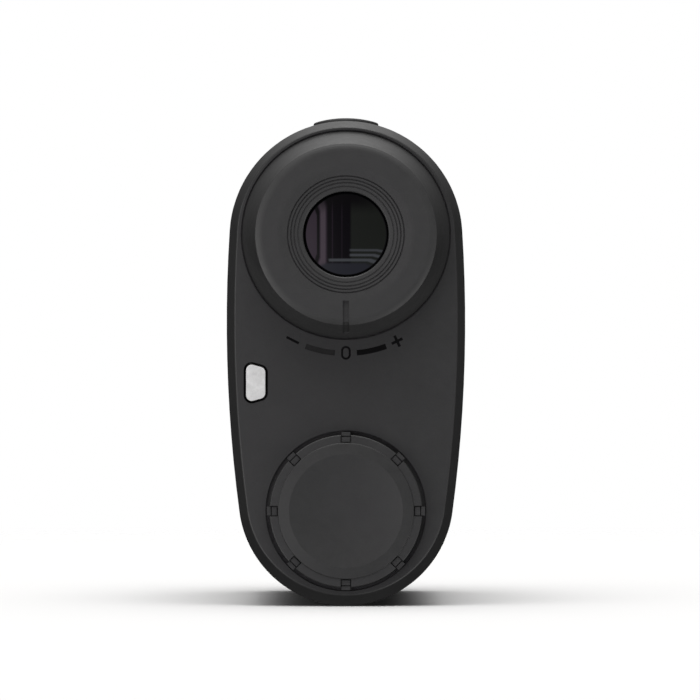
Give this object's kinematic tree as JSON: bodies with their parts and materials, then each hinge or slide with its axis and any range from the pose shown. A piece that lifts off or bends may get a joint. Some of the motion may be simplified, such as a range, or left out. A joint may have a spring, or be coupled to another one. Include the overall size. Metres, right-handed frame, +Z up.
{
  "type": "laser rangefinder",
  "caption": "Hand-held monocular laser rangefinder with a turning eyepiece ring, a screw battery cap, a range button on top and a magnetic side plate.",
  "frame": {"origin": "on the surface that the body stands on, under the middle of its box", "axes": "+Z up, +Y forward along the optical axis from the eyepiece to the objective, +X to the user's right"},
  "size_m": [0.0404, 0.105, 0.0819],
  "materials": {
    "soft_touch": "soft-touch matt with a fine cross-hatched grip texture",
    "black_plastic": "fine spark-eroded matt texture",
    "cup_rubber": "fine matt rubber",
    "cap_plastic": "fine matt texture",
    "gloss_black": "polished",
    "mark_black": "inlaid, glossy",
    "mark_grey": "inlaid, matt",
    "milky_lens": "translucent milky white",
    "coated_glass": "anti-reflection coating, faint purple",
    "prism_glass": "clear, polished",
    "black_aluminium": "black anodised",
    "inner_plastic": "glass-filled black plastic",
    "steel": "plain",
    "spring_steel": "bright",
    "plate_steel": "black, satin",
    "magnet_nickel": "nickel plated",
    "gold_contact": "gold flashed",
    "seal_rubber": "matt",
    "board_green": "solder mask",
    "chip_black": "moulded",
    "led_white": "clear resin over yellow phosphor",
    "can_metal": "tin plated",
    "flex_amber": "polyimide",
    "cell_wrap": "plain shrink wrap",
    "lcd_glass": "transmissive display glass",
    "button_rubber": "fine matt rubber over hard plastic"
  },
  "bodies": {
    "housing": {"grip_sleeve": "soft_touch", "main_housing": "inner_plastic", "rear_cover": "black_plastic", "rear_gasket": "seal_rubber", "front_gasket": "seal_rubber", "front_cover": "black_plastic", "front_panel": "gloss_black", "front_screws": "steel", "objective_window": "coated_glass", "receiver_window": "coated_glass", "scale_marks": "mark_black", "scale_minus_bar": "mark_grey", "indicator_window": "milky_lens", "indicator_led": "led_white", "indicator_board": "board_green", "magnet_plate": "plate_steel", "side_magnet": "magnet_nickel", "eyepiece_guide": "black_aluminium", "guide_clip": "spring_steel", "optical_chassis": "inner_plastic", "chassis_screws": "steel", "lcd_holder": "inner_plastic", "lcd_display": "lcd_glass", "display_flex": "flex_amber", "wedge_prism": "prism_glass", "roof_prism": "prism_glass", "prism_clip": "spring_steel", "objective_cell": "black_aluminium", "objective_lens": "coated_glass", "objective_retainer": "black_aluminium", "laser_holder": "black_aluminium", "laser_diode": "can_metal", "receiver_tube": "inner_plastic", "receiver_lens": "coated_glass", "apd_detector": "can_metal", "apd_board": "board_green", "main_board": "board_green", "board_screws": "steel", "shield_can": "can_metal", "board_parts": "chip_black", "battery_tube": "inner_plastic", "battery_contact": "gold_contact", "button_boot": "seal_rubber", "range_switch": "chip_black", "switch_board": "board_green"},
    "diopter": {"eyecup": "cup_rubber", "diopter_ring": "inner_plastic"},
    "ocular": {"ocular_barrel": "black_aluminium", "cam_pins": "steel", "ocular_retainer": "black_aluminium", "eye_lens": "coated_glass", "lens_spacer": "black_aluminium", "field_lens": "coated_glass", "ocular_seal": "seal_rubber"},
    "battery": {"battery_cell": "cell_wrap"},
    "contact": {"cap_contact": "gold_contact"},
    "cap": {"battery_cap": "cap_plastic", "cap_seal": "seal_rubber"},
    "button": {"range_button": "button_rubber", "switch_plunger": "inner_plastic"}
  },
  "joints": [
    {"name": "diopter_turn", "type": "hinge", "parent": "housing", "child": "diopter", "pos_m": [0, -0.0525, 0.0619], "axis": [0, -1, 0], "range_deg": [-25.2, 25.2]},
    {"name": "ocular_travel", "type": "slide", "parent": "housing", "child": "ocular", "axis": [0, -1, 0], "range_m": [-0.00083, 0.00083]},
    {"name": "range_button_press", "type": "slide", "parent": "housing", "child": "button", "axis": [0, 0, -1], "range_m": [0, 0.0006], "stiffness_N_per_m": 2000, "deforming": ["button_boot"]},
    {"name": "battery_withdraw", "type": "slide", "parent": "housing", "child": "battery", "axis": [0, -1, 0], "range_m": [0, 0.04]},
    {"name": "cap_travel", "type": "slide", "parent": "battery", "child": "contact", "axis": [0, -1, 0], "range_m": [0, 0.0045]},
    {"name": "battery_cap_turn", "type": "hinge", "parent": "contact", "child": "cap", "pos_m": [0, -0.0455, 0.0159], "axis": [0, -1, 0], "range_deg": [0, 1083]}
  ],
  "couplings": [
    {"joint": "diopter_turn", "follows": "ocular_travel", "rad_per_m": 525.7},
    {"joint": "battery_cap_turn", "follows": "cap_travel", "rad_per_m": 4188.8}
  ]
}
